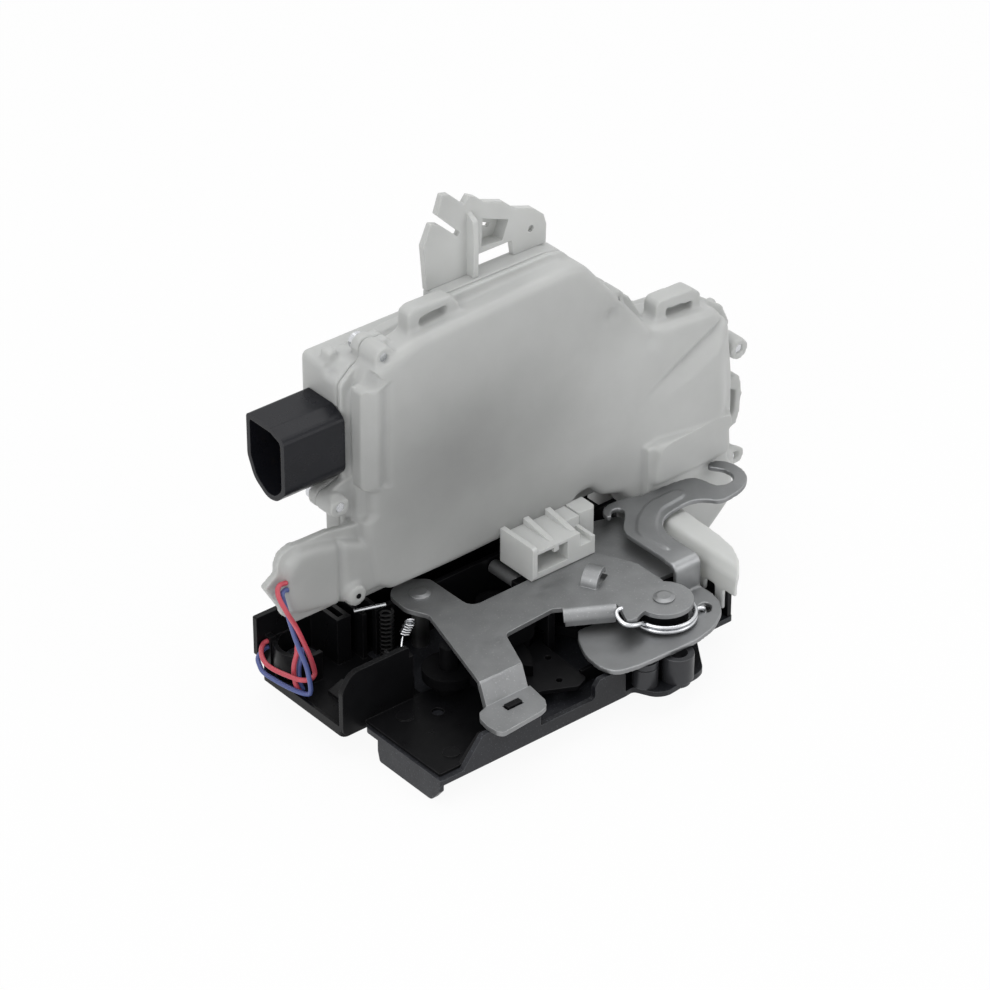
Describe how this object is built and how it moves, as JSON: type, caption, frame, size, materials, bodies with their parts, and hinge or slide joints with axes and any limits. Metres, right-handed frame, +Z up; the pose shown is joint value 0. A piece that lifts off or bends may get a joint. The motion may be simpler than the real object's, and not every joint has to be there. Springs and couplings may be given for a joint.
{
  "type": "door latch actuator",
  "caption": "Vehicle door latch with a forked catch, pawl and hooked outer release lever on a black face plate, and a milky upright actuator housing with a connector.",
  "frame": {"origin": "axis of the front fixing bush at the underside of the face plate", "axes": "+X along the face plate towards the cable hook, +Y from the striker mouth towards the upright housing, +Z up from the face plate"},
  "size_m": [0.2095, 0.1036, 0.1681],
  "materials": {
    "black_coat": "satin",
    "black_plastic": "matt",
    "connector_black": "satin",
    "sheet_steel": "satin",
    "lever_steel": "satin",
    "zinc_steel": "bright",
    "spring_black": "satin",
    "rubber": "matt",
    "milky_plastic": "satin",
    "white_plastic": "satin",
    "brass": "bright",
    "red_insulation": "satin",
    "blue_insulation": "satin"
  },
  "bodies": {
    "latch": {"face_plate": "black_coat", "fixing_bush_front": "black_coat", "fixing_bush_rear": "black_coat", "spacer_post": "black_coat", "latch_housing": "black_plastic", "mouth_guide": "black_plastic", "back_plate": "sheet_steel", "support_plate": "sheet_steel", "plate_rivet": "sheet_steel", "lever_rivet": "sheet_steel", "lever_bush": "black_plastic", "catch_pin": "black_coat", "pawl_pin": "black_coat", "striker_bumper": "rubber", "catch_spring": "zinc_steel", "pawl_spring": "spring_black", "spring_rod": "zinc_steel", "lever_spring": "zinc_steel", "transfer_pin": "zinc_steel", "front_cover": "milky_plastic", "rear_housing": "milky_plastic", "side_guard": "white_plastic", "cable_holder": "white_plastic", "top_bracket": "milky_plastic", "connector_shell": "connector_black", "connector_contacts": "brass", "contact_carrier": "black_plastic", "housing_screws": "zinc_steel", "lock_motor": "zinc_steel", "lock_wheel_axle": "zinc_steel", "safe_motor": "zinc_steel", "safe_wheel_axle": "zinc_steel", "lock_lever_axle": "zinc_steel", "catch_switch": "black_plastic", "lock_switch": "black_plastic", "red_lead": "red_insulation", "blue_lead": "blue_insulation"},
    "catch": {"catch": "black_coat"},
    "pawl": {"pawl": "black_coat"},
    "outer_lever": {"outer_release_lever": "lever_steel"},
    "transfer": {"transfer_lever": "sheet_steel"},
    "lock_gear": {"lock_wheel": "milky_plastic"},
    "lock_screw": {"lock_worm": "black_plastic"},
    "safe_gear": {"safe_wheel": "milky_plastic"},
    "safe_screw": {"safe_worm": "black_plastic"},
    "lock_arm": {"lock_lever": "milky_plastic"}
  },
  "joints": [
    {"name": "outer_lever_turn", "type": "hinge", "parent": "latch", "child": "outer_lever", "pos_m": [0.0073, 0.0156, 0.01315], "axis": [0, 0, 1], "range_deg": [-18, 0], "stiffness_Nm_per_rad": 0.4, "deforming": ["lever_spring"]},
    {"name": "catch_turn", "type": "hinge", "parent": "latch", "child": "catch", "pos_m": [-0.064, 0.042, 0.0098], "axis": [0, 0, 1], "range_deg": [0, 55], "stiffness_Nm_per_rad": 0.2},
    {"name": "pawl_turn", "type": "hinge", "parent": "latch", "child": "pawl", "pos_m": [-0.028, 0.062, 0.0098], "axis": [0, 0, 1], "range_deg": [0, 13]},
    {"name": "transfer_turn", "type": "hinge", "parent": "latch", "child": "transfer", "pos_m": [-0.0195, 0.066, 0.0169], "axis": [0, 1, 0], "range_deg": [0, 10], "stiffness_Nm_per_rad": 0.05},
    {"name": "lock_wheel_turn", "type": "hinge", "parent": "latch", "child": "lock_gear", "pos_m": [-0.025, 0.086, 0.0821], "axis": [0, 1, 0], "range_deg": [0, 90]},
    {"name": "lock_worm_turn", "type": "hinge", "parent": "latch", "child": "lock_screw", "pos_m": [-0.023, 0.086, 0.1], "axis": [1, 0, 0], "range_deg": [0, 2340]},
    {"name": "safe_wheel_turn", "type": "hinge", "parent": "latch", "child": "safe_gear", "pos_m": [0.036, 0.086, 0.0555], "axis": [0, 1, 0], "range_deg": [0, 90]},
    {"name": "safe_worm_turn", "type": "hinge", "parent": "latch", "child": "safe_screw", "pos_m": [0.037, 0.086, 0.072], "axis": [1, 0, 0], "range_deg": [0, 2340]},
    {"name": "lock_lever_turn", "type": "hinge", "parent": "latch", "child": "lock_arm", "pos_m": [0, 0.086, 0.046], "axis": [0, 1, 0], "range_deg": [0, 15]}
  ],
  "couplings": [
    {"joint": "pawl_turn", "follows": "outer_lever_turn", "ratio": -0.7222},
    {"joint": "lock_worm_turn", "follows": "lock_wheel_turn", "ratio": 26},
    {"joint": "lock_lever_turn", "follows": "lock_wheel_turn", "ratio": 0.16666},
    {"joint": "safe_worm_turn", "follows": "safe_wheel_turn", "ratio": 26}
  ]
}
